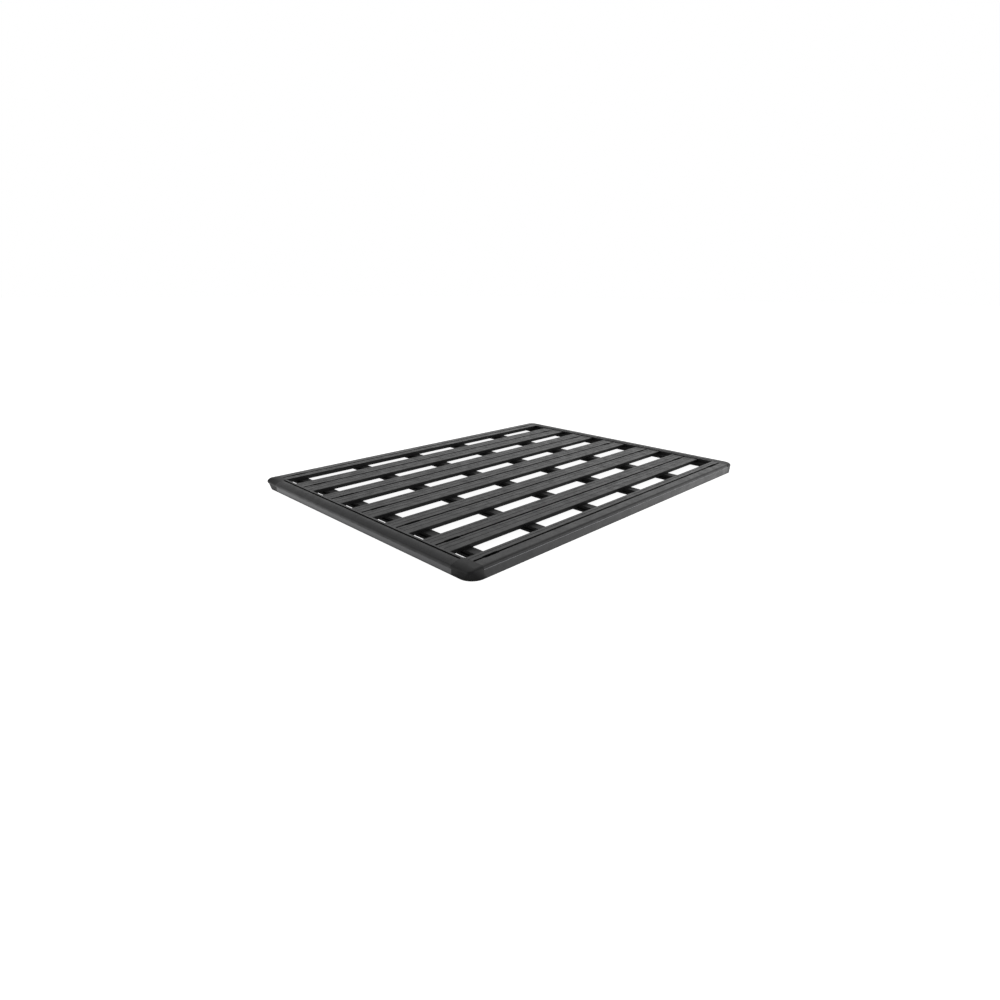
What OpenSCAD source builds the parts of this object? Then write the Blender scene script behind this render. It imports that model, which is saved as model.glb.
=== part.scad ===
// Flat platform roof rack: hollow side rails and end bars with moulded corners round a deck
// of lengthwise planks, carried by crossbars. Every deck profile has a T-slot for tie-downs.
// The nose points to -X, so the rack's left is -Y. The planks run along X, and it stands on Z = 0.

/* [Platform] */
// Overall length, nose to tail
platform_l = 1832; // [1700:1:2000]
// Overall width across the side rails
platform_w = 1382; // [1290:1:1460]
// Height of the rails and end bars
platform_h = 45.5; // [43:0.5:50]
// Distance from the rails' and end bars' tops down to the planks' tops
deck_drop = 3; // [2:0.5:4]

/* [Planks] */
// Number of planks between the side rails
plank_count = 5; // [3:1:5]
// Width of one plank
plank_w = 145; // [130:1:150]
// Depth of a plank, from its top to the crossbars
plank_h = 15.5; // [14:0.5:18]
// Wall of the planks' extrusion
plank_wall = 2.5; // [2:0.1:3]
// Radius along a plank's top edges
plank_edge_r = 2; // [1:0.5:3]
// Width of the turned-in feet under a plank's edges
plank_foot_w = 10; // [8:1:14]
// Distance of a plank's T-slot from its centre line, towards +Y
plank_slot_off = 2; // [0:0.5:8]
// Clearance between a plank's end and the end bar's lip
plank_end_gap = 1.5; // [0.5:0.5:3]

/* [T-slots] */
// Width of the mouth of a T-slot
slot_mouth_w = 10; // [8:0.5:12]
// Width of the chamber below the mouth
slot_chamber_w = 18; // [16:1:22]
// Floor thickness under the chamber
slot_floor = 2.5; // [2:0.5:3]
// Wall at each side of the chamber
slot_wall = 2.5; // [2:0.5:3]
// Length of the widened entry near each end of a slot
entry_l = 74; // [60:1:90]
// Width of the widened entry
entry_w = 16; // [14:1:16]
// Distance from a plank's or rail's end to the start of its entry
entry_from_end = 42; // [30:1:60]

/* [Fine grooves] */
// Width of the fine grooves along a plank's top
groove_w = 2.4; // [1.6:0.1:3]
// Depth of the fine grooves
groove_d = 1.4; // [0.8:0.1:1.6]
// Distance of the outer fine groove from the T-slot's centre, towards -Y
groove_outer_left = 44.5; // [38:0.5:50]
// Distance of the inner fine groove from the T-slot's centre, towards -Y
groove_inner_left = 19; // [15:0.5:24]
// Distance of the inner fine groove from the T-slot's centre, towards +Y
groove_inner_right = 28.5; // [22:0.5:34]
// Distance of the outer fine groove from the T-slot's centre, towards +Y
groove_outer_right = 53; // [46:0.5:58]

/* [Side rails] */
// Width of a side rail, its deck flange included
rail_w = 87; // [82:1:92]
// Wall of the rail's extrusion
rail_wall = 3; // [2:0.1:3.5]
// Radius of the rounded shoulder on a rail or the rear end bar
rail_round = 8.5; // [7:0.5:9.5]
// Width of the narrow step below the shoulder
rail_step_w = 2; // [1:0.5:2.5]
// Distance of the step below the rail's top
rail_step_drop = 12; // [10.5:0.5:14]
// Distance of the rail's T-slot from its inner edge
rail_slot_from_edge = 37; // [34:0.5:42]
// Distance of the rail's fine groove from its inner edge
rail_groove_from_edge = 14.5; // [10:0.5:18]

/* [End bars] */
// Width of an end bar's full-height box
end_box_w = 42; // [40:1:48]
// Wall of the end bar's extrusion
end_wall = 3; // [2:0.1:3.5]
// Distance from the outer face to the end bar's T-slot, the nose's run in front
nose_run = 38.5; // [36:0.5:40]
// Radius of the nose's long top curve
nose_top_r = 70; // [62:1:80]
// Radius of the nose's front curve
nose_front_r = 9; // [8:0.5:10]
// How far the lip below the nose stands back from it
lip_recess = 4; // [3:0.5:5]
// Width of the mouth of the end bar's T-slot
end_slot_mouth_w = 9.5; // [8:0.5:10]
// Thickness of the end bar's inner lip, behind the T-slot's mouth
end_lip_w = 9.5; // [8:0.5:11]
// Width of the ledge that carries the planks' ends
ledge_w = 19; // [14:1:24]
// Thickness of the ledge
ledge_t = 3; // [2.5:0.5:4]

/* [Crossbars] */
// Number of crossbars
bar_count = 5; // [4:1:6]
// Width of a crossbar
bar_w = 38.5; // [34:0.5:42]
// Distance from the nose to the first crossbar
bar_first = 129; // [115:1:140]
// Distance from the last crossbar to the tail
bar_last = 354.5; // [300:0.5:360]
// Wall of the crossbar's extrusion
bar_wall = 3; // [2.5:0.1:3.5]
// Depth of the recess along each side of a crossbar
bar_recess = 5; // [4:0.5:6]
// Height of the solid foot flange below the recess
bar_foot_h = 10.5; // [10:0.5:12]
// Width of the mouth of the channel under a crossbar
channel_mouth_w = 10; // [8:0.5:11]
// Width of the channel's chamber
channel_w = 21; // [18:1:22]
// Thickness of the lips beside the channel's mouth
channel_lip = 2.5; // [2:0.5:3]

/* [Cleats] */
// Length of a cleat's leg along the crossbar
cleat_l = 32; // [24:1:36]
// Length of a cleat's leg along the rail
cleat_leg = 26; // [20:1:32]
// Thickness of a cleat
cleat_t = 3; // [2.5:0.5:4]
// Clearance above and below a cleat in the crossbar's recess
cleat_clear = 0.3; // [0.2:0.1:0.5]

/* [Corner mouldings] */
// Length of a corner moulding along the side, up to the rail's end
corner_len = 60; // [60:1:66]
// Radius in plan of a front corner at its widest
front_corner_r = 20; // [18:1:30]
// Radius in plan of a front corner at its foot
front_foot_r = 55; // [50:1:56]
// Radius in plan of a rear corner at its widest
rear_corner_r = 40; // [34:1:44]
// Radius in plan of a rear corner at its foot
rear_foot_r = 50; // [44:1:56]
// Gap along the end bar from a side rail's inner edge to the corner moulding's end
corner_tab = 8; // [4:1:16]
// Wall of a corner moulding
corner_wall = 3; // [2.5:0.5:3.5]
// Length of the spigots that plug into the rail and the end bar
spigot_l = 40; // [25:1:50]
// Clearance round a spigot
spigot_clear = 0.4; // [0.3:0.1:0.6]
// Outer diameter of the screw post in a corner moulding
post_d = 12; // [10:1:14]
// Diameter of the screw post's pilot hole
pilot_d = 4.2; // [3:0.1:5]

/* [Hidden] */
$fn = 64;
eps = 0.01;
over = 1;
half_l = platform_l / 2;
half_w = platform_w / 2;
// Top of the end bar, from the outer face: nose, T-slot mouth, inner lip
end_w = nose_run + end_slot_mouth_w + end_lip_w;
plank_l = platform_l - 2 * (end_w + plank_end_gap);
inner_w = platform_w - 2 * rail_w;
plank_gap = (inner_w - plank_count * plank_w) / (plank_count + 1);
slab_h = plank_h + deck_drop;
bar_h = platform_h - slab_h;
bar_pitch = (platform_l - bar_first - bar_last - bar_w) / (bar_count - 1);
bar_l = platform_w - 2 * rail_wall;
rail_l = platform_l - 2 * corner_len;
// Length of a corner moulding along the end bar
corner_arm = rail_w + corner_tab;
end_l = platform_w - 2 * corner_arm;
// Height of the nose's widest line, the centre of its front curve
nose_v = sqrt(pow(nose_top_r - nose_front_r, 2) - pow(nose_run - nose_front_r, 2)) - nose_top_r;
// Direction in which the nose's two curves meet
join_angle = 90 + asin((nose_run - nose_front_r) / (nose_top_r - nose_front_r));
// Radius of a moulded corner's edge, which meets the rail's flat top
corner_round = rail_step_w + rail_round;
// Steps round a moulded corner, up its outline, and on the outline's front curve
fan_steps = 14;
arc_steps = 13;
front_steps = 8;
// Growth of a corner's plan radius towards its flat top
plan_growth = 0.8;

function plank_y(i) = -inner_w / 2 + plank_gap + plank_w / 2 + (i - 1) * (plank_w + plank_gap);
function bar_x(i) = -half_l + bar_first + bar_w / 2 + (i - 1) * bar_pitch;
// T-slot in section, its mouth at the origin and the solid below it
module t_slot(mouth, lip, depth) {
    translate([-mouth / 2, -lip - over])
        square([mouth, lip + 2 * over]);
    translate([-slot_chamber_w / 2, -depth])
        square([slot_chamber_w, depth - lip]);
}

// Solid section, flat on top, with a quarter round at the outer edge at x = 0
module shoulder_block(width, height, inset = 0) {
    r = rail_round - inset;
    translate([inset, inset - height])
        square([width - 2 * inset, height - inset - rail_round]);
    translate([rail_round, inset - height])
        square([width - rail_round - inset, height - 2 * inset]);
    translate([rail_round, -rail_round])
        circle(r = r, $fn = 128);
}

// Widened entry of a T-slot: a rounded slot milled through the lips
module entry_cut(lip) {
    translate([0, 0, -lip - eps])
        linear_extrude(lip + over)
            union() {
                translate([entry_w / 2, -entry_w / 2])
                    square([entry_l - entry_w, entry_w]);
                for (x = [entry_w / 2, entry_l - entry_w / 2])
                    translate([x, 0])
                        circle(d = entry_w);
            }
}

// Both entries of a slot that runs along X from 0 to "length"
module entry_pair(length, lip) {
    translate([entry_from_end, 0, 0])
        entry_cut(lip);
    translate([length - entry_from_end - entry_l, 0, 0])
        entry_cut(lip);
}

// Plank in section: top skin, side walls with feet, T-slot channel and fine grooves
module plank_section() {
    half = plank_w / 2;
    channel_half = slot_chamber_w / 2 + slot_wall;
    difference() {
        union() {
            translate([-half, -plank_h])
                square([plank_w, plank_h - plank_edge_r]);
            translate([-half + plank_edge_r, -plank_h])
                square([plank_w - 2 * plank_edge_r, plank_h]);
            for (s = [-1, 1])
                translate([s * (half - plank_edge_r), -plank_edge_r])
                    circle(r = plank_edge_r);
        }
        pocket(-half + plank_wall, plank_slot_off - channel_half, 1, 0);
        pocket(plank_slot_off + channel_half, half - plank_wall, 0, 1);
        translate([plank_slot_off, 0])
            t_slot(slot_mouth_w, plank_wall, plank_h - slot_floor);
        for (off = [-groove_outer_left, -groove_inner_left, groove_inner_right, groove_outer_right])
            translate([plank_slot_off + off - groove_w / 2, -groove_d])
                square([groove_w, groove_d + over]);
    }
}

// Pocket under a plank's skin from y0 to y1, with a foot left at the side walls
module pocket(y0, y1, foot_0, foot_1) {
    translate([y0, -plank_h + plank_wall])
        square([y1 - y0, plank_h - 2 * plank_wall]);
    translate([y0 + foot_0 * plank_foot_w, -plank_h - over])
        square([y1 - y0 - (foot_0 + foot_1) * plank_foot_w, plank_wall + 2 * over]);
}

module plank(i) {
    color("dimgray")
        translate([-plank_l / 2, plank_y(i), platform_h - deck_drop])
            difference() {
                rotate([90, 0, 90])
                    linear_extrude(plank_l)
                        plank_section();
                translate([0, plank_slot_off, 0])
                    entry_pair(plank_l, plank_wall);
            }
}

// Side rail in section, from its outer face at x = 0 to its deck flange's inner edge
module rail_section() {
    slot_u = rail_w - rail_slot_from_edge;
    channel_0 = slot_u - slot_chamber_w / 2 - slot_wall;
    channel_1 = slot_u + slot_chamber_w / 2 + slot_wall;
    difference() {
        union() {
            translate([rail_step_w, 0])
                shoulder_block(rail_w - rail_step_w, slab_h);
            translate([0, -platform_h])
                square([rail_wall, platform_h - rail_step_drop]);
        }
        translate([rail_step_w, 0])
            shoulder_block(channel_0 + rail_wall - rail_step_w, slab_h, rail_wall);
        translate([channel_1, -slab_h + rail_wall])
            square([rail_w - rail_wall - channel_1, slab_h - 2 * rail_wall]);
        translate([slot_u, 0])
            t_slot(slot_mouth_w, rail_wall, slab_h - slot_floor);
        translate([rail_w - rail_groove_from_edge - groove_w / 2, -groove_d])
            square([groove_w, groove_d + over]);
    }
}

// Left side rail, on the -Y side
module rail() {
    translate([-rail_l / 2, -half_w, platform_h])
        difference() {
            rotate([90, 0, 90])
                linear_extrude(rail_l)
                    rail_section();
            translate([0, rail_w - rail_slot_from_edge, 0])
                entry_pair(rail_l, rail_wall);
        }
}

// Front end bar's outer form: long top curve, tight front curve, lip standing back below
module nose_block(inset = 0) {
    centre = [nose_front_r, nose_v];
    // Point beyond the skin, on the line where the two curves meet
    beyond = centre + (nose_front_r + over) * [cos(join_angle), sin(join_angle)];
    low_v = nose_v - nose_front_r - over;
    lip_u = lip_recess + inset;
    intersection() {
        translate([nose_run, -nose_top_r])
            circle(r = nose_top_r - inset, $fn = 128);
        polygon([centre, beyond, [beyond[0], over], [nose_run, over], [nose_run, nose_v]]);
    }
    intersection() {
        translate(centre)
            circle(r = nose_front_r - inset, $fn = 128);
        polygon([centre, beyond, [-over, beyond[1]], [-over, low_v], [nose_front_r, low_v]]);
    }
    translate([nose_run, nose_v])
        square([end_box_w - inset - nose_run, -nose_v - inset]);
    translate([lip_u, inset - platform_h])
        square([end_box_w - inset - lip_u, platform_h + nose_v - inset]);
}

// Rear end bar's outer form: the side rails' shoulder and step on a full-height box
module plain_block(inset = 0) {
    translate([rail_step_w, 0])
        shoulder_block(end_box_w - rail_step_w, slab_h, inset);
    translate([inset, inset - platform_h])
        square([end_box_w - 2 * inset, platform_h - rail_step_drop - 2 * inset]);
}

// End bar in section: outer form, T-slot, inner lip and the ledge that carries the planks
module end_section(front) {
    slot_u = nose_run + end_slot_mouth_w / 2;
    difference() {
        union() {
            end_form(front);
            translate([end_box_w - end_wall, -slab_h])
                square([end_w - end_box_w + end_wall, slab_h]);
            translate([end_box_w - end_wall, -slab_h - ledge_t])
                square([end_w + ledge_w - end_box_w + end_wall, ledge_t]);
        }
        intersection() {
            end_form(front, end_wall);
            union() {
                translate([0, -platform_h])
                    square([end_box_w, platform_h - slab_h - slot_floor]);
                translate([0, -slab_h])
                    square([slot_u - slot_chamber_w / 2 - slot_wall, slab_h]);
            }
        }
        translate([slot_u, 0])
            t_slot(end_slot_mouth_w, end_wall, slab_h - slot_floor);
    }
}

module end_form(front, inset = 0) {
    if (front)
        nose_block(inset);
    else
        plain_block(inset);
}

// End bar with its outer face on the nose
module end_bar(front) {
    translate([-half_l, 0, platform_h])
        rotate([90, 0, 0])
            linear_extrude(end_l, center = true)
                end_section(front);
}

// Crossbar in section: top flange, closed box with recessed sides, channel underneath
module bar_section() {
    half = bar_w / 2;
    chamber_top = -platform_h + bar_foot_h - bar_wall;
    difference() {
        translate([-half, -platform_h])
            square([bar_w, bar_h]);
        for (s = [-1, 1])
            translate([s * half - (s + 1) / 2 * bar_recess - (1 - s) / 2 * over, -platform_h + bar_foot_h])
                square([bar_recess + over, bar_h - bar_foot_h - bar_wall]);
        translate([-half + bar_recess + bar_wall, -platform_h + bar_foot_h])
            square([bar_w - 2 * (bar_recess + bar_wall), bar_h - bar_foot_h - bar_wall]);
        translate([-channel_w / 2, -platform_h + channel_lip])
            square([channel_w, chamber_top + platform_h - channel_lip]);
        translate([-channel_mouth_w / 2, -platform_h - over])
            square([channel_mouth_w, channel_lip + 2 * over]);
    }
}

module crossbar(i) {
    color("#3a3a3a")
        translate([bar_x(i), 0, platform_h])
            rotate([90, 0, 0])
                linear_extrude(bar_l, center = true)
                    bar_section();
}

// Cleat at the +Y end of a crossbar: one leg in the bar's rear recess, one on the rail's wall
module cleat_right(i) {
    height = bar_h - bar_wall - bar_foot_h - 2 * cleat_clear;
    web_x = bar_x(i) + bar_w / 2 - bar_recess;
    translate([web_x, bar_l / 2, bar_foot_h + cleat_clear])
        linear_extrude(height)
            union() {
                translate([0, -cleat_l])
                    square([cleat_t, cleat_l]);
                translate([0, -cleat_t])
                    square([cleat_leg, cleat_t]);
            }
}

module cleat(i, side) {
    color("silver")
        if (side > 0)
            cleat_right(i);
        else
            mirror([0, 1, 0])
                cleat_right(i);
}

// Direction in which the nose's front curve runs into the lip
function lip_angle(inset) = 360 - acos((lip_recess + inset - nose_front_r) / (nose_front_r - inset));
// Point k of the nose's outline, as [distance from the outer face, height]
function nose_point(k, inset) =
    let (start = lip_angle(inset), top_steps = arc_steps - front_steps,
        front_a = start + (join_angle - start) * k / front_steps,
        top_a = join_angle + (90 - join_angle) * (k - front_steps) / top_steps)
    k <= front_steps
        ? [nose_front_r, nose_v] + (nose_front_r - inset) * [cos(front_a), sin(front_a)]
        : [nose_run, -nose_top_r] + (nose_top_r - inset) * [cos(top_a), sin(top_a)];
// Point k of a quarter round that ends on the flat top
function round_point(k, inset) =
    let (a = 180 - 90 * k / arc_steps)
    [corner_round, -corner_round] + (corner_round - inset) * [cos(a), sin(a)];
// Outline of a corner at turn t, 0 at the end bar and 1 at the side rail, bottom first
function corner_outline(t, inset, front) =
    let (nose = front ? 1 - t : 0)
    concat(
        [[nose * lip_recess + inset, -platform_h - (inset > 0 ? over : 0)]],
        [for (k = [0 : arc_steps]) nose * nose_point(k, inset) + (1 - nose) * round_point(k, inset)]);
// Radius in plan at an outline point, widest at the nose's line and growing towards the foot
function plan_r(p, front) =
    let (top_r = (front ? front_corner_r : rear_corner_r) + plan_growth * p[0],
        foot_r = front ? front_foot_r : rear_foot_r,
        low = min(1, max(0, (nose_v - p[1]) / (nose_v + platform_h))))
    top_r + (foot_r - top_r) * low;

// Moulded corner, its outer faces on x = 0 and y = 0, or its hollow when inset is the wall
module corner_form(front, inset = 0) {
    arm_y = corner_arm - inset;
    seam_x = corner_len - inset;
    bottom = -platform_h - (inset > 0 ? over : 0);
    // Rings of outline points: the arm's end, the fan from the front to the side, the rail's end
    pts = concat(
        [for (p = corner_outline(0, inset, front)) [p[0], arm_y, p[1]]],
        [for (step = [0 : fan_steps])
            let (angle = 90 * step / fan_steps)
            for (p = corner_outline(step / fan_steps, inset, front))
                let (r = plan_r(p, front))
                [r - (r - p[0]) * cos(angle), r - (r - p[0]) * sin(angle), p[1]]],
        [for (p = corner_outline(1, inset, front)) [seam_x, p[0], p[1]]],
        [[seam_x, arm_y, -inset], [seam_x, arm_y, bottom]]);
    polyhedron(pts, corner_faces(fan_steps + 3, arc_steps + 2));
}

// Faces of a corner form: skin, flat top, underside, arm's end and rail's end
function corner_faces(ring_n, n) =
    let (hub_top = ring_n * n, hub_bottom = hub_top + 1, last = (ring_n - 1) * n)
    concat(
        [for (r = [0 : ring_n - 2], k = [0 : n - 2])
            each [[r * n + k, r * n + k + 1, (r + 1) * n + k + 1],
                [r * n + k, (r + 1) * n + k + 1, (r + 1) * n + k]]],
        [for (r = [0 : ring_n - 2])
            each [[r * n + n - 1, hub_top, (r + 1) * n + n - 1], [r * n, (r + 1) * n, hub_bottom]]],
        [concat([for (k = [n - 1 : -1 : 0]) k], [hub_bottom, hub_top])],
        [concat([for (k = [0 : n - 1]) last + k], [hub_top, hub_bottom])]);

// Spigot into the side rail's outer chamber and spigot into the end bar's box
module corner_spigots() {
    rail_room = rail_w - rail_slot_from_edge - slot_chamber_w / 2 - slot_wall - spigot_clear - corner_round;
    rail_room_h = slab_h - 2 * (rail_wall + spigot_clear);
    translate([corner_len - corner_wall, corner_round, rail_wall + spigot_clear - slab_h])
        cube([spigot_l + corner_wall, rail_room, rail_room_h]);
    bar_u = lip_recess + end_wall + spigot_clear;
    bar_room_h = platform_h - slab_h - slot_floor - end_wall - 2 * spigot_clear;
    translate([bar_u, corner_arm - corner_wall, end_wall + spigot_clear - platform_h])
        cube([end_box_w - end_wall - spigot_clear - bar_u, spigot_l + corner_wall, bar_room_h]);
}

module corner(front) {
    post_at = (corner_len + post_d) / 2;
    difference() {
        union() {
            difference() {
                corner_form(front);
                corner_form(front, corner_wall);
            }
            corner_spigots();
            translate([post_at, post_at, -platform_h])
                cylinder(d = post_d, h = platform_h - corner_wall + eps);
        }
        translate([post_at, post_at, -platform_h - over])
            cylinder(d = pilot_d, h = platform_h - 2 * corner_wall);
    }
}

// Corner at the nose or the tail (sx) and at the -Y or +Y side (sy)
module corner_at(sx, sy) {
    color("#242424")
        mirror([sx > 0 ? 1 : 0, 0, 0])
            mirror([0, sy > 0 ? 1 : 0, 0])
                translate([-half_l, -half_w, platform_h])
                    corner(sx < 0);
}

module front_end_bar() { color("#3c3c3c") end_bar(true); }
module rear_end_bar() { color("#3c3c3c") mirror([1, 0, 0]) end_bar(false); }
module left_side_rail() { color("#444444") rail(); }
module right_side_rail() { color("#444444") mirror([0, 1, 0]) rail(); }

front_end_bar();
rear_end_bar();
left_side_rail();
right_side_rail();
corner_at(-1, -1);  // front_left_corner
corner_at(-1, 1);  // front_right_corner
corner_at(1, -1);  // rear_left_corner
corner_at(1, 1);  // rear_right_corner
for (i = [1 : plank_count])
    plank(i);
for (i = [1 : bar_count])
    crossbar(i);
for (i = [1 : bar_count])
    cleat(i, -1);
for (i = [1 : bar_count])
    cleat(i, 1);
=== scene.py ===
"""Looks of the flat platform roof rack: its finishes, fasteners, camera, floor and light.

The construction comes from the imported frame, and this script dresses it. Lengths are in metres,
and in millimetres where a name ends in _mm or a class says so. The nose points to -X and the rack
stands on Z = 0.
"""

import logging
import math
from dataclasses import dataclass, field
from enum import Enum

import bmesh
import bpy
from mathutils import Matrix, Vector


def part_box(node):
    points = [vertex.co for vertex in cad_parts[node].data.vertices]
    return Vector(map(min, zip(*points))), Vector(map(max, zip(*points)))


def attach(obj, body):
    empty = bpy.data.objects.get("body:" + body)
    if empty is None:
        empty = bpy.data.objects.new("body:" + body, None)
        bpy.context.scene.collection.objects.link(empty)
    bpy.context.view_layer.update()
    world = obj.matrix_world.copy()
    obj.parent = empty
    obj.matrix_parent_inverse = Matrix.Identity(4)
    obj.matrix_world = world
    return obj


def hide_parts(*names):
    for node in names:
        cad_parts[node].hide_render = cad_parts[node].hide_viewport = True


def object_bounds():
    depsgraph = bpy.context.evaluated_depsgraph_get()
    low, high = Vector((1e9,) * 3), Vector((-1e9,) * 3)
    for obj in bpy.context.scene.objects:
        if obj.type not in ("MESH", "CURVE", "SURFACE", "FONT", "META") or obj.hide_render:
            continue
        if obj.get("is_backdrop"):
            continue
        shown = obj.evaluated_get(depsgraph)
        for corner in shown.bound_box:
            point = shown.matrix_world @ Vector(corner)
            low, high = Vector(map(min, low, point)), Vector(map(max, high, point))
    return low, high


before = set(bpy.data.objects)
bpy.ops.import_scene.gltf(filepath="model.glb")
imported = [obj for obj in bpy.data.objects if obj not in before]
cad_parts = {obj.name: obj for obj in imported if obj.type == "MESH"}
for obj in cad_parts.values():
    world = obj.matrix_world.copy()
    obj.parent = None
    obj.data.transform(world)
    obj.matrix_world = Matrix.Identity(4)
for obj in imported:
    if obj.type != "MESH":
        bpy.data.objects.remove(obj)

LOG = logging.getLogger("roof_rack")
MM = 0.001
BODY = "root"
DOWN = Vector((0, 0, -1))
# A node with an output for each kind of value names them all alike, so these go by number
MIXED_FLOAT = 0
MIXED_COLOUR = 2
RANDOM_FLOAT = 1
# Noise keeps mostly to the middle of its range, and that part is stretched to the whole
NOISE_MIDDLE = {"From Min": 0.3, "From Max": 0.7}
BEVEL_SAMPLES = 4
# A light counts as level from this cosine between its aim and the upright
LEVEL = 0.999


def linear(hex_colour: str) -> tuple[float, float, float, float]:
    """Turns an sRGB hex colour into the linear colour that a shader takes.

    Args:
        hex_colour: Colour such as "#1c1c1d".

    Returns:
        Red, green, blue and alpha, linear.
    """
    channels = [int(hex_colour[i:i + 2], 16) / 255 for i in (1, 3, 5)]
    red, green, blue = (c / 12.92 if c <= 0.04045 else ((c + 0.055) / 1.055) ** 2.4 for c in channels)
    return red, green, blue, 1.0


def add_node(tree: bpy.types.NodeTree, kind: str, inputs: dict | None = None,
             **settings: object) -> bpy.types.Node:
    """Adds a node with its settings, and fills its inputs.

    Args:
        tree: Shader or geometry tree that takes the node.
        kind: Blender's name of the node's type.
        inputs: Input by name, identifier or index. A socket, or a list of them, is linked to it,
            and anything else is its fixed value.
        **settings: Properties of the node itself.

    Returns:
        The new node.
    """
    node = tree.nodes.new(kind)
    for key, value in settings.items():
        setattr(node, key, value)
    for key, value in (inputs or {}).items():
        socket = node.inputs[key] if isinstance(key, int) else next(
            s for s in node.inputs if key in (s.identifier, s.name))
        for source in value if isinstance(value, list) else [value]:
            if isinstance(source, bpy.types.NodeSocket):
                tree.links.new(source, socket)
            else:
                socket.default_value = source
    return node


def new_material(name: str) -> tuple[bpy.types.Material, bpy.types.NodeTree]:
    """Makes an empty material with its node tree.

    Args:
        name: Name of the finish.

    Returns:
        The material and its tree.
    """
    material = bpy.data.materials.new(name)
    material.use_nodes = True
    material.node_tree.nodes.clear()
    return material, material.node_tree


class DieLines(Enum):
    """Way in which a profile came out of its die, as the length of the lines along X, Y and Z in mm."""

    ALONG_X = (260.0, 2.6, 2.6)
    ALONG_Y = (2.6, 260.0, 2.6)
    ALONG_Z = (2.6, 2.6, 260.0)


class Side(Enum):
    """Outer side of a profile, as the number of the axis that points out of it."""

    ENDS = 0
    SIDES = 1


@dataclass(frozen=True)
class PaintedLightBand:
    """Band along a profile's outer side that is painted lighter, with a smoother coat: a painted highlight
    on the rails' step and a painted reflection on the front bar's lip. Sizes in mm.

    It reaches in from the rack's outermost face by its inset, and goes from low to high above the floor.
    """

    side: Side
    inset: float
    low: float
    high: float
    colour: str
    roughness: float


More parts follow.
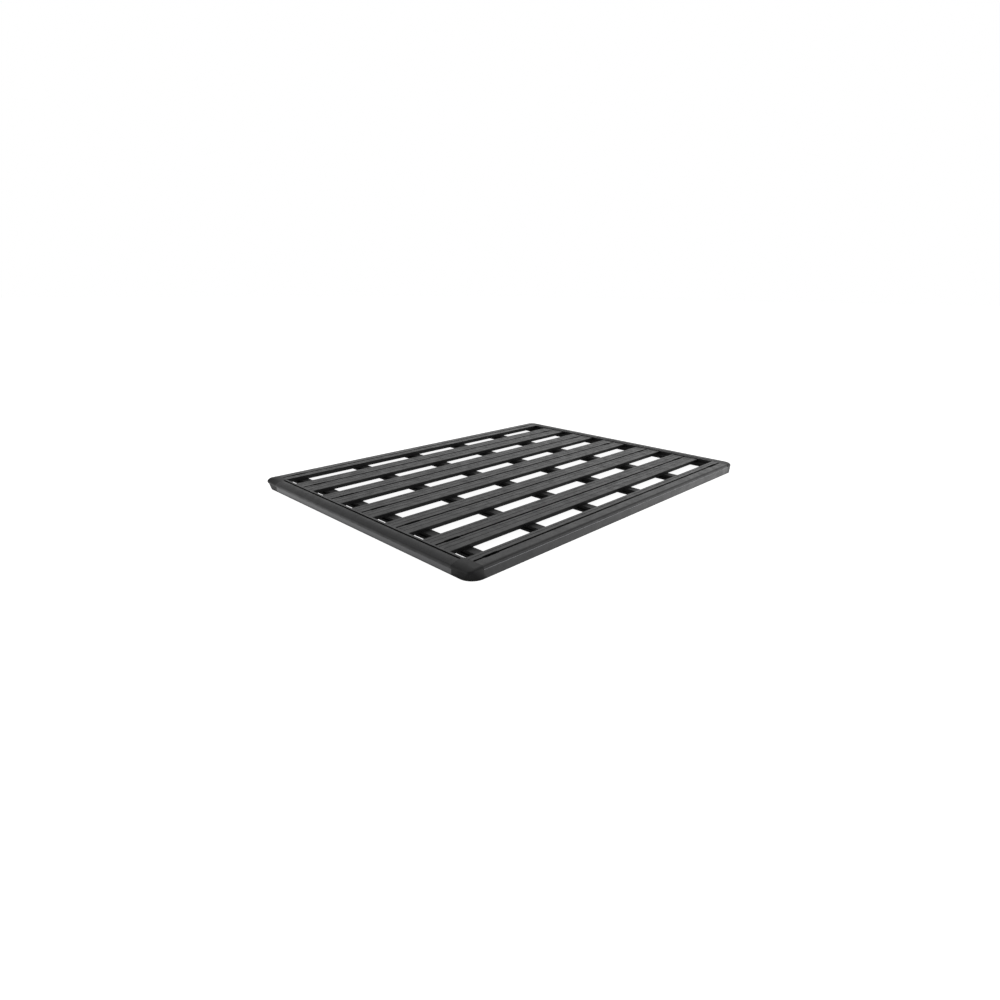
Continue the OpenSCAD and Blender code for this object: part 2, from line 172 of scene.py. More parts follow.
@dataclass(frozen=True)
class PowderCoat:
    """Fine-textured polyester powder coat, baked on an extruded aluminium profile.

    To the eye it is a deep black with a broad, slightly mottled sheen, and faint lines that run the way
    the profile left its die.
    """

    name: str
    colour: str
    pale_tone: str
    roughness: float
    lines: DieLines
    painted_band: PaintedLightBand | None = None
    grain_mm: float = 1.1
    grain_depth_mm: float = 0.05
    cloud_mm: float = 45.0
    edge_mm: float = 0.7
    edge_wear_and_highlight: float = 0.6
    tone_swing: float = 0.2
    sheen_swing: float = 0.11

    def build(self) -> bpy.types.Material:
        """Builds the coat: faint die lines, fine grain, cloudy sheen and rounded edges."""
        material, tree = new_material(self.name)
        place = add_node(tree, "ShaderNodeTexCoord").outputs["Object"]
        # The real grain is about 0.3 mm, drawn coarser so that it still shows from a few metres
        grain = add_node(tree, "ShaderNodeTexNoise", {
            "Vector": place, "Scale": 1 / (self.grain_mm * MM),
            "Detail": 2.0, "Roughness": 0.6}).outputs["Fac"]
        # Lines of the die show faintly through the thin coat
        stretched = add_node(tree, "ShaderNodeMapping", {
            "Vector": place, "Scale": tuple(1 / (mm * MM) for mm in self.lines.value)}).outputs["Vector"]
        lines = add_node(tree, "ShaderNodeTexNoise", {
            "Vector": stretched, "Scale": 1.0, "Detail": 3.0, "Roughness": 0.55}).outputs["Fac"]
        rounded = add_node(tree, "ShaderNodeBevel", {
            "Radius": self.edge_mm * MM}, samples=BEVEL_SAMPLES).outputs["Normal"]
        tone = self.tone(tree, place, grain, lines, rounded)
        colour = add_node(tree, "ShaderNodeMix", {
            "Factor_Float": tone, "A_Color": linear(self.colour), "B_Color": linear(self.pale_tone)},
            data_type="RGBA").outputs[MIXED_COLOUR]
        sheen = add_node(tree, "ShaderNodeMapRange", {
            "Value": tone, "To Min": self.roughness + self.sheen_swing,
            "To Max": self.roughness - self.sheen_swing}).outputs["Result"]
        # The band's lighter colour is painted light, and its lower roughness is a smoother coat
        if self.painted_band:
            inside = self.mask(tree, place)
            colour = add_node(tree, "ShaderNodeMix", {
                "Factor_Float": inside, "A_Color": colour, "B_Color": linear(self.painted_band.colour)},
                data_type="RGBA").outputs[MIXED_COLOUR]
            sheen = add_node(tree, "ShaderNodeMix", {
                "Factor_Float": inside, "A_Float": sheen, "B_Float": self.painted_band.roughness},
                data_type="FLOAT").outputs[MIXED_FLOAT]
        bump = add_node(tree, "ShaderNodeBump", {
            "Strength": 0.6, "Distance": self.grain_depth_mm * MM,
            "Height": grain, "Normal": rounded}).outputs["Normal"]
        bump = add_node(tree, "ShaderNodeBump", {
            "Strength": 0.25, "Distance": self.grain_depth_mm * MM,
            "Height": lines, "Normal": bump}).outputs["Normal"]
        shader = add_node(tree, "ShaderNodeBsdfPrincipled", {
            "Base Color": colour, "Roughness": sheen, "Normal": bump, "IOR": 1.5, "Metallic": 0.0})
        add_node(tree, "ShaderNodeOutputMaterial", {"Surface": shader.outputs["BSDF"]})
        return material

    def tone(self, tree: bpy.types.NodeTree, place: bpy.types.NodeSocket, grain: bpy.types.NodeSocket,
             lines: bpy.types.NodeSocket, rounded: bpy.types.NodeSocket) -> bpy.types.NodeSocket:
        """Builds the coat's tone from its clouds, grain, lines and lightened edges, which are partly wear
        and partly a painted highlight.

        Args:
            tree: Tree of the material.
            place: Object coordinates.
            grain: Fine grain.
            lines: Lines of the die.
            rounded: Normal with the edges rounded.

        Returns:
            0 for the coat's own colour, up to 1 for the paler one.
        """
        # Baking leaves the sheen mottled, in patches from 45 mm down to a few millimetres
        cloud = add_node(tree, "ShaderNodeTexNoise", {
            "Vector": place, "Scale": 1 / (self.cloud_mm * MM),
            "Detail": 4.0, "Roughness": 0.72}).outputs["Fac"]
        cloud = add_node(tree, "ShaderNodeMapRange", {
            "Value": cloud, **NOISE_MIDDLE, "To Min": 0.0, "To Max": 1.0}).outputs["Result"]
        # Edges are painted lighter: partly wear, where the coat pulls thin and handling polishes it, and
        # partly a painted highlight along each edge
        flat = add_node(tree, "ShaderNodeNewGeometry").outputs["True Normal"]
        facing = add_node(tree, "ShaderNodeVectorMath", {
            0: rounded, 1: flat}, operation="DOT_PRODUCT").outputs["Value"]
        edge = add_node(tree, "ShaderNodeMapRange", {
            "Value": facing, "From Min": 0.99, "From Max": 0.8,
            "To Min": 0.0, "To Max": self.edge_wear_and_highlight}).outputs["Result"]
        swing = {**NOISE_MIDDLE, "To Min": -self.tone_swing, "To Max": self.tone_swing}
        streaks = add_node(tree, "ShaderNodeMapRange", {"Value": lines, **swing}).outputs["Result"]
        specks = add_node(tree, "ShaderNodeMapRange", {"Value": grain, **swing}).outputs["Result"]
        tone = add_node(tree, "ShaderNodeMath", {0: streaks, 1: specks}, operation="ADD").outputs["Value"]
        tone = add_node(tree, "ShaderNodeMath", {0: tone, 1: cloud}, operation="ADD").outputs["Value"]
        tone = add_node(tree, "ShaderNodeMath", {0: tone, 1: edge}, operation="ADD", use_clamp=True)
        return tone.outputs["Value"]

    def mask(self, tree: bpy.types.NodeTree, place: bpy.types.NodeSocket) -> bpy.types.NodeSocket:
        """Builds the mask of the band that is painted lighter.

        Args:
            tree: Tree of the material.
            place: Object coordinates.

        Returns:
            1 inside the band and 0 elsewhere.
        """
        painted_band = self.painted_band
        axis = painted_band.side.value
        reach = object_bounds()[1][axis] - painted_band.inset * MM
        middle = (painted_band.low + painted_band.high) / 2 * MM
        half = (painted_band.high - painted_band.low) / 2 * MM
        axes = add_node(tree, "ShaderNodeSeparateXYZ", {"Vector": place}).outputs
        out = add_node(tree, "ShaderNodeMath", {0: axes[axis]}, operation="ABSOLUTE").outputs["Value"]
        outer = add_node(tree, "ShaderNodeMath", {
            0: out, 1: reach}, operation="GREATER_THAN").outputs["Value"]
        level = add_node(tree, "ShaderNodeMath", {
            0: axes["Z"], 1: middle, 2: half}, operation="COMPARE").outputs["Value"]
        return add_node(tree, "ShaderNodeMath", {
            0: outer, 1: level}, operation="MULTIPLY").outputs["Value"]


@dataclass(frozen=True)
class MouldedNylon:
    """Glass-filled nylon from a spark-eroded mould: satin, with a very fine even grain.

    To the eye it is a flatter black than the coat, so the corners stand out from the profiles.
    """

    name: str
    colour: str
    flow: str
    roughness: float
    grain_mm: float = 0.8
    grain_depth_mm: float = 0.03
    flow_mm: float = 45.0
    edge_mm: float = 0.8
    sheen_swing: float = 0.05

    def build(self) -> bpy.types.Material:
        """Builds the nylon: fine grain, and soft clouds where the melt met."""
        material, tree = new_material(self.name)
        place = add_node(tree, "ShaderNodeTexCoord").outputs["Object"]
        # Spark-eroded grain is about 0.1 mm, drawn coarser so that it shows
        grain = add_node(tree, "ShaderNodeTexVoronoi", {
            "Vector": place, "Scale": 1 / (self.grain_mm * MM)}).outputs["Distance"]
        flow = add_node(tree, "ShaderNodeTexNoise", {
            "Vector": place, "Scale": 1 / (self.flow_mm * MM),
            "Detail": 4.0, "Distortion": 0.8}).outputs["Fac"]
        colour = add_node(tree, "ShaderNodeMix", {
            "Factor_Float": flow, "A_Color": linear(self.colour), "B_Color": linear(self.flow)},
            data_type="RGBA").outputs[MIXED_COLOUR]
        sheen = add_node(tree, "ShaderNodeMapRange", {
            "Value": flow, "To Min": self.roughness - self.sheen_swing,
            "To Max": self.roughness + self.sheen_swing}).outputs["Result"]
        rounded = add_node(tree, "ShaderNodeBevel", {
            "Radius": self.edge_mm * MM}, samples=BEVEL_SAMPLES).outputs["Normal"]
        bump = add_node(tree, "ShaderNodeBump", {
            "Strength": 0.35, "Distance": self.grain_depth_mm * MM,
            "Height": grain, "Normal": rounded}).outputs["Normal"]
        shader = add_node(tree, "ShaderNodeBsdfPrincipled", {
            "Base Color": colour, "Roughness": sheen, "Normal": bump,
            "IOR": 1.53, "Specular IOR Level": 0.36})
        add_node(tree, "ShaderNodeOutputMaterial", {"Surface": shader.outputs["BSDF"]})
        return material


@dataclass(frozen=True)
class PlatedSteel:
    """Cold-headed steel with a thin black-passivated zinc skin, which dulls in patches.

    To the eye it is a dark grey metal that glints at the rim and in the socket.
    """

    name: str
    colour: str
    dull: str
    bright_roughness: float
    dull_roughness: float
    patch_mm: float = 1.5
    scratch_mm: float = 0.5
    scratch_depth_mm: float = 0.02

    def build(self) -> bpy.types.Material:
        """Builds the plating: patchy tone and fine scratches."""
        material, tree = new_material(self.name)
        place = add_node(tree, "ShaderNodeTexCoord").outputs["Object"]
        patches = add_node(tree, "ShaderNodeTexNoise", {
            "Vector": place, "Scale": 1 / (self.patch_mm * MM), "Detail": 4.0}).outputs["Fac"]
        scratches = add_node(tree, "ShaderNodeTexNoise", {
            "Vector": place, "Scale": 1 / (self.scratch_mm * MM), "Detail": 2.0}).outputs["Fac"]
        colour = add_node(tree, "ShaderNodeMix", {
            "Factor_Float": patches, "A_Color": linear(self.colour), "B_Color": linear(self.dull)},
            data_type="RGBA").outputs[MIXED_COLOUR]
        sheen = add_node(tree, "ShaderNodeMapRange", {
            "Value": patches, "To Min": self.bright_roughness,
            "To Max": self.dull_roughness}).outputs["Result"]
        bump = add_node(tree, "ShaderNodeBump", {
            "Strength": 0.3, "Distance": self.scratch_depth_mm * MM, "Height": scratches}).outputs["Normal"]
        shader = add_node(tree, "ShaderNodeBsdfPrincipled", {
            "Base Color": colour, "Roughness": sheen, "Normal": bump, "Metallic": 1.0})
        add_node(tree, "ShaderNodeOutputMaterial", {"Surface": shader.outputs["BSDF"]})
        return material


PLANK_COAT = PowderCoat("plank_powder_coat", "#0f0f10", "#1c1c1d", 0.38, DieLines.ALONG_X)
# The step below a rail's shoulder stands proud. A light grey band along its edge is a painted highlight, on
# a smoother coat
STEP_PAINTED_HIGHLIGHT = PaintedLightBand(Side.SIDES, inset=3.0, low=32.3, high=34.0, colour="#8c8c8f", roughness=0.35)
RAIL_COAT = PowderCoat("rail_powder_coat", "#111112", "#1f1f20", 0.36, DieLines.ALONG_X, STEP_PAINTED_HIGHLIGHT)
# The front bar's lip is smooth from the die and its coat shiny. Its lighter grey is a painted reflection of
# the bright floor
LIP_PAINTED_REFLECTION = PaintedLightBand(Side.ENDS, inset=5.0, low=-1.0, high=21.4, colour="#626264", roughness=0.3)
# The front bar's coat is set a little lighter than the other profiles', which paints extra light onto the
# nose
FRONT_BAR_COAT = PowderCoat("front_bar_powder_coat", "#151516", "#252527", 0.38, DieLines.ALONG_Y, LIP_PAINTED_REFLECTION)
REAR_BAR_COAT = PowderCoat("rear_bar_powder_coat", "#101011", "#1d1d1e", 0.4, DieLines.ALONG_Y)
CROSSBAR_COAT = PowderCoat("crossbar_powder_coat", "#0b0b0c", "#151516", 0.5, DieLines.ALONG_Y)
CLEAT_COAT = PowderCoat("cleat_powder_coat", "#0d0d0e", "#19191a", 0.46, DieLines.ALONG_Z)
CORNER_NYLON = MouldedNylon("corner_nylon", "#08080a", "#101011", 0.46)
SCREW_STEEL = PlatedSteel("screw_black_zinc", "#2c2d2f", "#1c1d1f", 0.26, 0.44)


def dress(finish: bpy.types.Material, *nodes: str) -> None:
    """Gives nodes of the frame their finish.

    Args:
        finish: Material that takes the place of the frame's plain one.
        *nodes: Names of the nodes.
    """
    for name in nodes:
        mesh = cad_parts[name].data
        mesh.materials.clear()
        mesh.materials.append(finish)
        LOG.info("%s wears %s", name, finish.name)


def numbered(stem: str) -> list[str]:
    """Lists the frame's nodes that share a stem, such as plank_1 and plank_2, in order.

    Args:
        stem: Start of the names, up to the number.

    Returns:
        The names.
    """
    return sorted(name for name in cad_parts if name.startswith(stem))


@dataclass(frozen=True)
class Seat:
    """Place of a screw: the middle of its washer's seat and the way its head faces."""

    at: Vector
    aim: Vector


@dataclass(frozen=True)
class ButtonScrew:
    """Button-head screw with a hexagon socket and a plain washer. Sizes in mm.

    The head rises as an upright rim and then as a dome in steps. The rim and each step have a share of
    the head's height, and each step closes in to a share of the ring below it.
    """

    head_d: float = 10.5
    head_h: float = 3.3
    washer_d: float = 12.0
    washer_t: float = 1.0
    socket: float = 4.0
    socket_depth: float = 2.0
    sides: int = 28
    rim: float = 0.3
    steps: tuple[tuple[float, float], ...] = ((0.3, 0.93), (0.25, 0.86), (0.15, 0.76))
    crease: float = math.radians(34)

    def build_screw(self, tree: bpy.types.GeometryNodeTree,
                    given: bpy.types.NodeOutputs) -> bpy.types.NodeSocket:
        """Builds one screw on the origin, with its head up.

        Args:
            tree: Tree that takes the nodes.
            given: Outputs of the tree's input node.

        Returns:
            Mesh of the screw.
        """
        height, thickness = given["Head Height"], given["Washer Thickness"]
        washer = add_node(tree, "GeometryNodeMeshCylinder", {
            "Vertices": given["Sides"], "Radius": given["Washer Radius"], "Depth": thickness})
        rim_height = add_node(tree, "ShaderNodeMath", {0: height, 1: self.rim}, operation="MULTIPLY")
        rim = add_node(tree, "GeometryNodeMeshCylinder", {
            "Vertices": given["Sides"], "Radius": given["Head Radius"],
            "Depth": rim_height.outputs["Value"]})
        dome, top = rim.outputs["Mesh"], rim.outputs["Top"]
        for share, close in self.steps:
            rise = add_node(tree, "ShaderNodeMath", {0: height, 1: share}, operation="MULTIPLY")
            step = add_node(tree, "GeometryNodeExtrudeMesh", {
                "Mesh": dome, "Selection": top, "Offset Scale": rise.outputs["Value"]})
            dome, top = step.outputs["Mesh"], step.outputs["Top"]
            dome = add_node(tree, "GeometryNodeScaleElements", {
                "Geometry": dome, "Selection": top, "Scale": close}).outputs["Geometry"]
        # A hexagon's corner lies its width across the flats, divided by the root of three, from its middle
        corner = add_node(tree, "ShaderNodeMath", {
            0: given["Socket"], 1: math.sqrt(3)}, operation="DIVIDE")
        key_length = add_node(tree, "ShaderNodeMath", {
            0: given["Socket Depth"], 1: 2.0}, operation="MULTIPLY")
        key = add_node(tree, "GeometryNodeMeshCylinder", {
            "Vertices": 6, "Radius": corner.outputs["Value"], "Depth": key_length.outputs["Value"]})
        # Each cylinder is made round the origin, and its middle goes up to its own level
        washer_level = add_node(tree, "ShaderNodeMath", {0: thickness, 1: 0.5}, operation="MULTIPLY")
        rim_level = add_node(tree, "ShaderNodeMath", {
            0: height, 1: self.rim / 2, 2: thickness}, operation="MULTIPLY_ADD")
        crown = add_node(tree, "ShaderNodeMath", {0: height, 1: thickness}, operation="ADD")
        parts = []
        for mesh, level in (
                (washer.outputs["Mesh"], washer_level), (dome, rim_level), (key.outputs["Mesh"], crown)):
            up = add_node(tree, "ShaderNodeCombineXYZ", {"Z": level.outputs["Value"]}).outputs["Vector"]
            part = add_node(tree, "GeometryNodeTransform", {"Geometry": mesh, "Translation": up})
            parts.append(part.outputs["Geometry"])
        head = add_node(tree, "GeometryNodeMeshBoolean", {
            "Mesh 1": parts[1], "Mesh 2": parts[2]}, operation="DIFFERENCE", solver="EXACT").outputs["Mesh"]
        screw = add_node(tree, "GeometryNodeJoinGeometry", {"Geometry": [parts[0], head]})
        bend = add_node(tree, "GeometryNodeInputMeshEdgeAngle").outputs["Unsigned Angle"]
        sharp = add_node(tree, "FunctionNodeCompare", {
            0: bend, 1: self.crease}, operation="GREATER_THAN").outputs["Result"]
        screw = add_node(tree, "GeometryNodeSetShadeSmooth", {"Geometry": screw.outputs["Geometry"]})
        return add_node(tree, "GeometryNodeStoreNamedAttribute", {
            "Geometry": screw.outputs["Geometry"], "Name": "sharp_edge", "Value": sharp},
            data_type="BOOLEAN", domain="EDGE").outputs["Geometry"]

    def build_tree(self) -> bpy.types.GeometryNodeTree:
        """Builds the tree that sets one screw on each point, along the point's aim."""
        tree = bpy.data.node_groups.new("button_screws", "GeometryNodeTree")
        face = tree.interface
        face.new_socket("Geometry", in_out="INPUT", socket_type="NodeSocketGeometry")
        for name in ("Head Radius", "Head Height", "Washer Radius", "Washer Thickness", "Socket",
                     "Socket Depth"):
            face.new_socket(name, in_out="INPUT", socket_type="NodeSocketFloat")
        for name in ("Sides", "Seed"):
            face.new_socket(name, in_out="INPUT", socket_type="NodeSocketInt")
        face.new_socket("Material", in_out="INPUT", socket_type="NodeSocketMaterial")
        face.new_socket("Geometry", in_out="OUTPUT", socket_type="NodeSocketGeometry")
        given = add_node(tree, "NodeGroupInput").outputs
        aim = add_node(tree, "GeometryNodeInputNamedAttribute", {
            "Name": "aim"}, data_type="FLOAT_VECTOR").outputs["Attribute"]
        turn = add_node(tree, "FunctionNodeAlignRotationToVector", {"Vector": aim}, axis="Z")
        # A hexagon socket looks the same again after a sixth of a turn
        angle = add_node(tree, "FunctionNodeRandomValue", {
            "Min_001": 0.0, "Max_001": math.tau / 6, "Seed": given["Seed"]}).outputs[RANDOM_FLOAT]
        spin = add_node(tree, "ShaderNodeCombineXYZ", {"Z": angle}).outputs["Vector"]
        spin = add_node(tree, "FunctionNodeEulerToRotation", {"Euler": spin}).outputs["Rotation"]
        turn = add_node(tree, "FunctionNodeRotateRotation", {
            "Rotation": turn.outputs["Rotation"], "Rotate By": spin}, rotation_space="LOCAL")
        placed = add_node(tree, "GeometryNodeInstanceOnPoints", {
            "Points": given["Geometry"], "Instance": self.build_screw(tree, given),
            "Rotation": turn.outputs["Rotation"]}).outputs["Instances"]
        plain = add_node(tree, "GeometryNodeRealizeInstances", {"Geometry": placed}).outputs["Geometry"]
        plain = add_node(tree, "GeometryNodeSetMaterial", {
            "Geometry": plain, "Material": given["Material"]}).outputs["Geometry"]
        add_node(tree, "NodeGroupOutput", {"Geometry": plain})
        return tree

    def place(self, name: str, seats: list[Seat], finish: bpy.types.Material, seed: int) -> bpy.types.Object:
        """Sets a screw on each seat, as one plain mesh.

        Args:
            name: Name of the piece.
            seats: Places of the screws.
            finish: Material of the screws.
            seed: Seed for how far each head happens to be turned.

        Returns:
            The piece, riding on the rack.
        """
        mesh = bpy.data.meshes.new(name)
        mesh.from_pydata([seat.at for seat in seats], [], [])
        aims = mesh.attributes.new("aim", "FLOAT_VECTOR", "POINT")
        for index, seat in enumerate(seats):
            aims.data[index].vector = seat.aim
        piece = bpy.data.objects.new(name, mesh)
        bpy.context.scene.collection.objects.link(piece)
        modifier = piece.modifiers.new("screws", "NODES")
        modifier.node_group = self.build_tree()
        values = {
            "Head Radius": self.head_d / 2 * MM, "Head Height": self.head_h * MM,
            "Washer Radius": self.washer_d / 2 * MM, "Washer Thickness": self.washer_t * MM,
            "Socket": self.socket * MM, "Socket Depth": self.socket_depth * MM,
            "Sides": self.sides, "Seed": seed, "Material": finish}
        for item in modifier.node_group.interface.items_tree:
            if item.in_out == "INPUT" and item.name in values:
                modifier[item.identifier] = values[item.name]
        shown = piece.evaluated_get(bpy.context.evaluated_depsgraph_get())
        piece.data = bpy.data.meshes.new_from_object(shown)
        piece.modifiers.clear()
        piece.data.name = name
        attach(piece, BODY)
        LOG.info("%s: %d screws, %d faces", name, len(seats), len(piece.data.polygons))
        return piece


CLEAT_SCREW = ButtonScrew()
CHANNEL_SCREW = ButtonScrew(head_h=3.0, washer_d=12.5, washer_t=0.8, socket_depth=1.9)
SMALL_SCREW = ButtonScrew(
    head_d=9.5, head_h=2.8, washer_d=11.0, washer_t=0.8, socket=3.5, socket_depth=1.7)


@dataclass
class Planks:
    """Lengthwise deck planks, and the screws that hold their ends down on the end bars' ledges."""

    # From a plank's middle to the middle of its foot, and from the rack's end to the middle of the ledge
    foot: float = 67.5 * MM
    ledge_mid: float = 68.0 * MM
    # Height of the ledge's underside
    ledge_under: float = 24.0 * MM
    screw: ButtonScrew = SMALL_SCREW
    seed: int = 3

    def build(self, screw_finish: bpy.types.Material) -> None:
        """Dresses the planks and sets two screws under each end.

        Args:
            screw_finish: Material of the screws.
        """
        names = numbered("plank_")
        dress(PLANK_COAT.build(), *names)
        from_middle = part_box("rear_end_bar")[1].x - self.ledge_mid
        seats = []
        for name in names:
            low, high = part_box(name)
            middle = (low.y + high.y) / 2
            for end in (-1, 1):
                for side in (-1, 1):
                    at = Vector((end * from_middle, middle + side * self.foot, self.ledge_under))
                    seats.append(Seat(at, DOWN))
        self.screw.place("plank_end_screws", seats, screw_finish, self.seed)


@dataclass
class Crossbars:
    """Crossbars under the planks, and the screws in their channels that hold each plank."""

    # Height of the roof of the channel, and from a plank's middle to its T-slot, which the screw enters
    channel_roof: float = 7.5 * MM
    slot_off: float = 2.0 * MM
    screw: ButtonScrew = CHANNEL_SCREW
    seed: int = 5

    def build(self, screw_finish: bpy.types.Material) -> None:
        """Dresses the crossbars and sets a screw under each crossing.

        Args:
            screw_finish: Material of the screws.
        """
        names = numbered("crossbar_")
        dress(CROSSBAR_COAT.build(), *names)
        seats = []
        for name in names:
            low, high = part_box(name)
            for plank in numbered("plank_"):
                plank_low, plank_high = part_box(plank)
                across = (plank_low.y + plank_high.y) / 2 + self.slot_off
                at = Vector(((low.x + high.x) / 2, across, self.channel_roof))
                seats.append(Seat(at, DOWN))
        self.screw.place("crossbar_channel_screws", seats, screw_finish, self.seed)


@dataclass
class Cleats:
    """Cleats sawn from an angle profile, between crossbars and side rails, with a screw through each leg."""

    # Wall of the angle, and how far the two screws lie from its outer faces
    thickness: float = 3.0 * MM
    bar_screw_from_end: float = 20.0 * MM
    rail_screw_from_web: float = 15.5 * MM
    screw: ButtonScrew = CLEAT_SCREW
    seed: int = 7

    def build(self, screw_finish: bpy.types.Material) -> None:
        """Dresses the cleats and sets their screws.

        Args:
            screw_finish: Material of the screws.
        """
        names = numbered("cleat_")
        dress(CLEAT_COAT.build(), *names)
        seats = []
        for name in names:
            low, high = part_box(name)
            side = 1 if high.y > 0 else -1
            outer = high.y if side > 0 else low.y
            height = (low.z + high.z) / 2
            along_bar = Vector((low.x + self.thickness, outer - side * self.bar_screw_from_end, height))
            along_rail = Vector((low.x + self.rail_screw_from_web, outer - side * self.thickness, height))
            seats += [Seat(along_bar, Vector((1, 0, 0))), Seat(along_rail, Vector((0, -side, 0)))]
        self.screw.place("cleat_screws", seats, screw_finish, self.seed)


@dataclass
class Perimeter:
    """Side rails and end bars, with the screws that hold the corner mouldings' spigots."""

    # From a profile's sawn end to its screw, which is about the middle of the spigot inside
    from_end: float = 20.0 * MM
    # In a rail, from its outer face to the screw, and the height of the deck flange's underside
    rail_across: float = 23.0 * MM
    rail_under: float = 27.0 * MM
    # In an end bar, from its outer face to its inner wall, and the height of the screw
    end_box: float = 42.0 * MM
    end_height: float = 13.5 * MM
    screw: ButtonScrew = SMALL_SCREW
    seed: int = 11

    def build(self, screw_finish: bpy.types.Material) -> None:
        """Dresses the four profiles and sets the screws under the rails and in the end bars' inner walls.

        Args:
            screw_finish: Material of the screws.
        """
        dress(RAIL_COAT.build(), "left_side_rail", "right_side_rail")
        dress(FRONT_BAR_COAT.build(), "front_end_bar")
        dress(REAR_BAR_COAT.build(), "rear_end_bar")
        rail_low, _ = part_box("left_side_rail")
        bar_low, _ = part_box("front_end_bar")
        rail_x, rail_y = rail_low.x + self.from_end, rail_low.y + self.rail_across
        bar_x, bar_y = bar_low.x + self.end_box, bar_low.y + self.from_end
        seats = []
        for end in (-1, 1):
            for side in (-1, 1):
                in_rail = Vector((-end * rail_x, -side * rail_y, self.rail_under))
                in_bar = Vector((-end * bar_x, -side * bar_y, self.end_height))
                seats += [Seat(in_rail, DOWN), Seat(in_bar, Vector((-end, 0, 0)))]
        self.screw.place("corner_screws", seats, screw_finish, self.seed)


@dataclass
class CornerMouldings:
    """Hollow nylon corners, whose skin turns from the end bar's form into the side rail's shoulder."""

    merge: float = 0.01 * MM
    crease: float = math.radians(32)

    def build_one(self, node: str, finish: bpy.types.Material) -> bpy.types.Object:
        """Builds one corner as a smooth copy in place of the frame's faceted one.

        Args:
            node: Name of the frame's corner.
            finish: Material of the corner.

        Returns:
            The piece, riding on the rack.
        """
        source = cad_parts[node]
        body = bmesh.new()
        body.from_mesh(source.data)
        body.transform(source.matrix_world)
        bmesh.ops.remove_doubles(body, verts=body.verts, dist=self.merge)
        bmesh.ops.recalc_face_normals(body, faces=body.faces)
        for polygon in body.faces:
            polygon.smooth = True
        for edge in body.edges:
            edge.smooth = edge.calc_face_angle(0.0) < self.crease
        mesh = bpy.data.meshes.new(node + "_moulding")
        body.to_mesh(mesh)
        body.free()
        mesh.materials.append(finish)
        piece = bpy.data.objects.new(node + "_moulding", mesh)
        bpy.context.scene.collection.objects.link(piece)
        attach(piece, BODY)
        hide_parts(node)
        LOG.info("%s: %d faces", piece.name, len(mesh.polygons))
        return piece

    def build(self) -> None:
        """Builds the four corners."""
        finish = CORNER_NYLON.build()
        for end in ("front", "rear"):
            for side in ("left", "right"):
                self.build_one(f"{end}_{side}_corner", finish)


class Fade(Enum):
    """Axis of a soft box along which its light fades."""

    ALONG_X = "X"
    ALONG_Y = "Y"


@dataclass
class SoftBox:
    """Rectangular studio light, level or turned to its target, that doesn't show itself.

    The share is the strength at the end where the fade starts, against the strength at its other end.
    """

    name: str
    at: tuple[float, float, float]
    target: tuple[float, float, float]
    size: tuple[float, float]
    power: float
    start_share: float = 1.0
    fade: Fade = Fade.ALONG_X

    def build(self) -> None:
        """Hangs the light, and fades it from one end to the other."""
        data = bpy.data.lights.new(self.name, "AREA")
        data.shape = "RECTANGLE"
        data.size, data.size_y = self.size
        data.energy = self.power
        data.use_nodes = True
        data.node_tree.nodes.clear()
        along = add_node(data.node_tree, "ShaderNodeNewGeometry").outputs["Parametric"]
        along = add_node(data.node_tree, "ShaderNodeSeparateXYZ", {"Vector": along}).outputs
        share = add_node(data.node_tree, "ShaderNodeMapRange", {
            "Value": along[self.fade.value], "To Min": self.start_share, "To Max": 1.0}).outputs["Result"]
        glow = add_node(data.node_tree, "ShaderNodeEmission", {"Strength": share}).outputs["Emission"]
        add_node(data.node_tree, "ShaderNodeOutputLight", {"Surface": glow})
        light = bpy.data.objects.new(self.name, data)
        light.location = self.at
        light.visible_camera = False
        aim = Vector(self.target) - Vector(self.at)
        if abs(aim.normalized().z) > LEVEL:
            light.rotation_euler = (math.pi if aim.z > 0 else 0.0, 0.0, 0.0)
        else:
            light.rotation_euler = aim.to_track_quat("-Z", "Y").to_euler()
        bpy.context.scene.collection.objects.link(light)


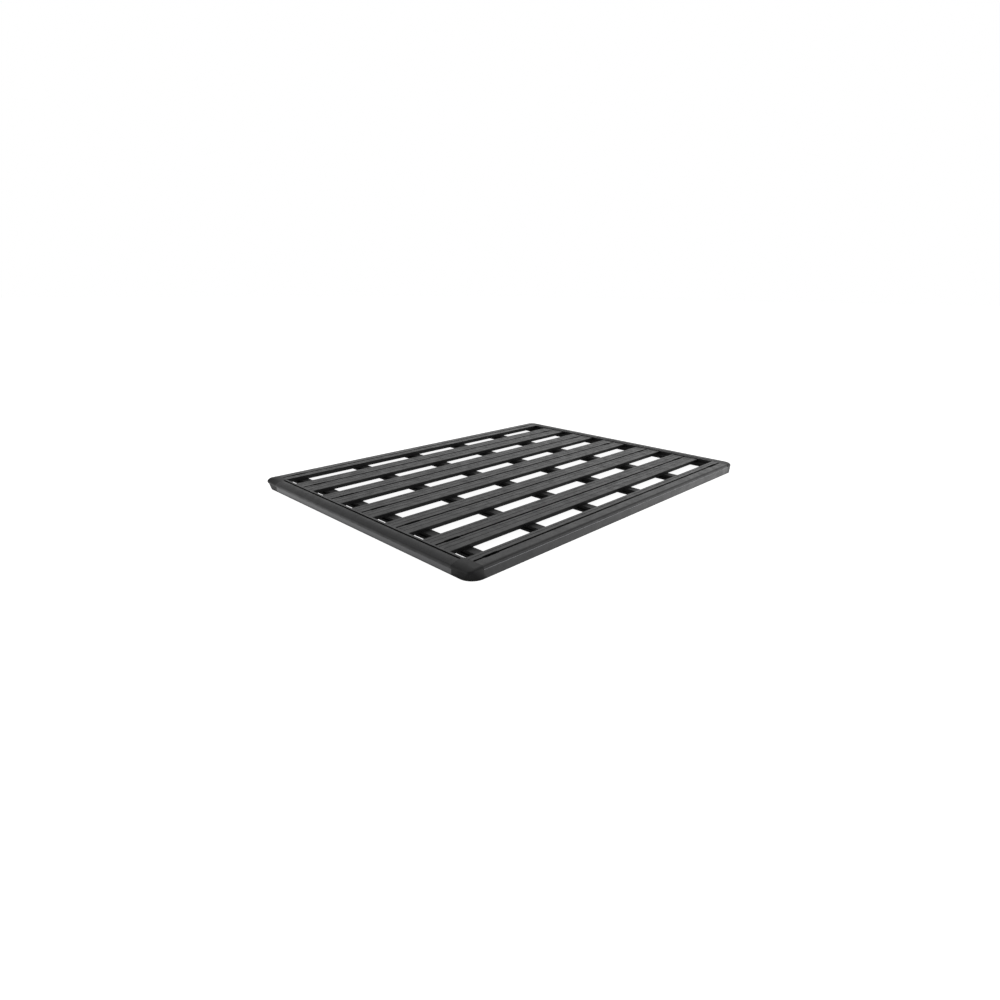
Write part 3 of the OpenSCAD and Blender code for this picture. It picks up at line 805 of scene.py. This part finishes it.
@dataclass
class Studio:
    """Plain pale floor, soft light and the camera at the photograph's angle."""

    # Camera, worked out from the rack's own straight edges in the photograph
    lens_mm: float = 21.93
    sensor_mm: float = 36.0
    azimuth: float = -45.57
    elevation: float = 18.94
    roll: float = 0.51
    target: tuple[float, float, float] = (-0.3577, -0.2693, 0.0425)
    distance: float = 2.536
    clip: tuple[float, float] = (0.05, 200.0)
    # Floor, with an overexposed sweep that shows and a matt sheet under it that lights the rack
    floor_half: float = 60.0
    sweep_colour: str = "#bcbcbc"
    sweep_glow: float = 0.95
    bounce_colour: str = "#a8a8a8"
    bounce_glow: float = 0.15
    bounce_drop: float = 0.2 * MM
    # Room, with the strength of its walls and ceiling. A side is the way in which that wall lies,
    # and a turn is the range of the cosine to it over which the wall blends into the next
    horizon: float = 1.0
    ceiling: float = 0.42
    ceiling_rise: tuple[float, float] = (0.1, 0.8)
    near_wall: float = 0.7
    near_side: tuple[float, float, float] = (-0.7, -0.714, 0.0)
    near_turn: tuple[float, float] = (-0.2, 0.7)
    far_wall: float = 0.79
    tail_wall: float = 1.0
    tail_side: tuple[float, float, float] = (0.9, -0.43, 0.0)
    tail_turn: tuple[float, float] = (-0.05, 0.6)
    # The two cards lie on the floor and light the left rail's wall and the nose's lip from below
    lights: list[SoftBox] = field(default_factory=lambda: [
        SoftBox("overhead_softbox", (0.2, 0.1, 2.6), (0.0, 0.0, 0.0), (3.4, 2.8), 20.0),
        SoftBox("side_card", (0.39, -1.292, 0.0005), (0.39, -1.292, 1.0), (2.46, 1.2), 13.2, 0.46),
        SoftBox("front_card", (-1.517, 0.35, 0.0005), (-1.517, 0.35, 1.0), (1.2, 1.9), 2.2, 2.6,
                Fade.ALONG_Y)])

    def build_camera(self) -> None:
        """Sets the camera up."""
        azimuth, elevation, roll = (math.radians(a) for a in (self.azimuth, self.elevation, self.roll))
        right = Vector((math.cos(azimuth), math.sin(azimuth), 0))
        back = Vector((math.sin(azimuth) * math.cos(elevation), -math.cos(azimuth) * math.cos(elevation),
                       math.sin(elevation)))
        up = back.cross(right)
        across = right * math.cos(roll) + up * math.sin(roll)
        upward = up * math.cos(roll) - right * math.sin(roll)
        data = bpy.data.cameras.new("photo_camera")
        data.lens, data.sensor_width = self.lens_mm, self.sensor_mm
        data.clip_start, data.clip_end = self.clip
        camera = bpy.data.objects.new("photo_camera", data)
        eye = Vector(self.target) + back * self.distance
        turned = Matrix((across, upward, back)).transposed().to_4x4()
        camera.matrix_world = Matrix.Translation(eye) @ turned
        bpy.context.scene.collection.objects.link(camera)
        bpy.context.scene.camera = camera

    def lay(self, name: str, level: float, colour: str, glow: float) -> bpy.types.Object:
        """Lays one sheet of the floor.

        Args:
            name: Name of the sheet.
            level: Height of the sheet.
            colour: Colour as light meets it.
            glow: Strength of its own white light.

        Returns:
            The sheet, kept apart from the rack.
        """
        mesh = bpy.data.meshes.new(name)
        half = self.floor_half
        outline = ((-half, -half), (half, -half), (half, half), (-half, half))
        mesh.from_pydata([(x, y, level) for x, y in outline], [], [(0, 1, 2, 3)])
        sheet = bpy.data.objects.new(name, mesh)
        bpy.context.scene.collection.objects.link(sheet)
        material, tree = new_material(name)
        shader = add_node(tree, "ShaderNodeBsdfPrincipled", {
            "Base Color": linear(colour), "Roughness": 0.9, "Specular IOR Level": 0.0,
            "Emission Color": linear("#ffffff"), "Emission Strength": glow})
        add_node(tree, "ShaderNodeOutputMaterial", {"Surface": shader.outputs["BSDF"]})
        mesh.materials.append(material)
        sheet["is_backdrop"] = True
        return sheet

    def build_floor(self) -> None:
        """Lays the overexposed white sweep that shows, and under it the matt sheet that lights the rack."""
        sweep = self.lay("white_sweep", 0.0, self.sweep_colour, self.sweep_glow)
        sweep.visible_diffuse = sweep.visible_glossy = sweep.visible_shadow = False
        bounce = self.lay("bounce_sheet", -self.bounce_drop, self.bounce_colour, self.bounce_glow)
        bounce.visible_camera = False

    def build_light(self) -> None:
        """Sets a room with bright walls and a dimmer ceiling, the soft boxes and a white backdrop."""
        world = bpy.data.worlds.new("white_room")
        bpy.context.scene.world = world
        world.use_nodes = True
        tree = world.node_tree
        tree.nodes.clear()
        seen = add_node(tree, "ShaderNodeLightPath").outputs["Is Camera Ray"]
        aim = add_node(tree, "ShaderNodeTexCoord").outputs["Generated"]
        rise = add_node(tree, "ShaderNodeSeparateXYZ", {"Vector": aim}).outputs["Z"]
        wall = add_node(tree, "ShaderNodeMapRange", {
            "Value": rise, "From Min": self.ceiling_rise[0], "From Max": self.ceiling_rise[1],
            "To Min": self.horizon, "To Max": self.ceiling},
            interpolation_type="SMOOTHSTEP").outputs["Result"]
        # The wall on the side from which the picture is taken is the dimmest
        nearward = add_node(tree, "ShaderNodeVectorMath", {
            0: aim, 1: self.near_side}, operation="DOT_PRODUCT").outputs["Value"]
        side = add_node(tree, "ShaderNodeMapRange", {
            "Value": nearward, "From Min": self.near_turn[0], "From Max": self.near_turn[1],
            "To Min": 1.0, "To Max": self.near_wall},
            interpolation_type="SMOOTHSTEP").outputs["Result"]
        # The wall beyond the tail is a little brighter than the one beyond the far side
        tailward = add_node(tree, "ShaderNodeVectorMath", {
            0: aim, 1: self.tail_side}, operation="DOT_PRODUCT").outputs["Value"]
        tail = add_node(tree, "ShaderNodeMapRange", {
            "Value": tailward, "From Min": self.tail_turn[0], "From Max": self.tail_turn[1],
            "To Min": self.far_wall, "To Max": self.tail_wall}).outputs["Result"]
        room = add_node(tree, "ShaderNodeMath", {0: wall, 1: side}, operation="MULTIPLY").outputs["Value"]
        room = add_node(tree, "ShaderNodeMath", {0: room, 1: tail}, operation="MULTIPLY").outputs["Value"]
        strength = add_node(tree, "ShaderNodeMapRange", {"Value": seen, "To Min": room, "To Max": 1.0})
        light = add_node(tree, "ShaderNodeBackground", {
            "Color": linear("#ffffff"), "Strength": strength.outputs["Result"]})
        add_node(tree, "ShaderNodeOutputWorld", {"Surface": light.outputs["Background"]})
        for box in self.lights:
            box.build()
        bpy.context.scene.view_settings.view_transform = "Standard"

    def build(self) -> None:
        """Builds the studio."""
        self.build_camera()
        self.build_floor()
        self.build_light()


def main() -> None:
    """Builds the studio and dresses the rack."""
    logging.basicConfig(level=logging.INFO, format="%(message)s")
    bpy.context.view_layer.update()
    Studio().build()
    screw_finish = SCREW_STEEL.build()
    Planks().build(screw_finish)
    Crossbars().build(screw_finish)
    Cleats().build(screw_finish)
    Perimeter().build(screw_finish)
    CornerMouldings().build()


if __name__ == "__main__":
    main()
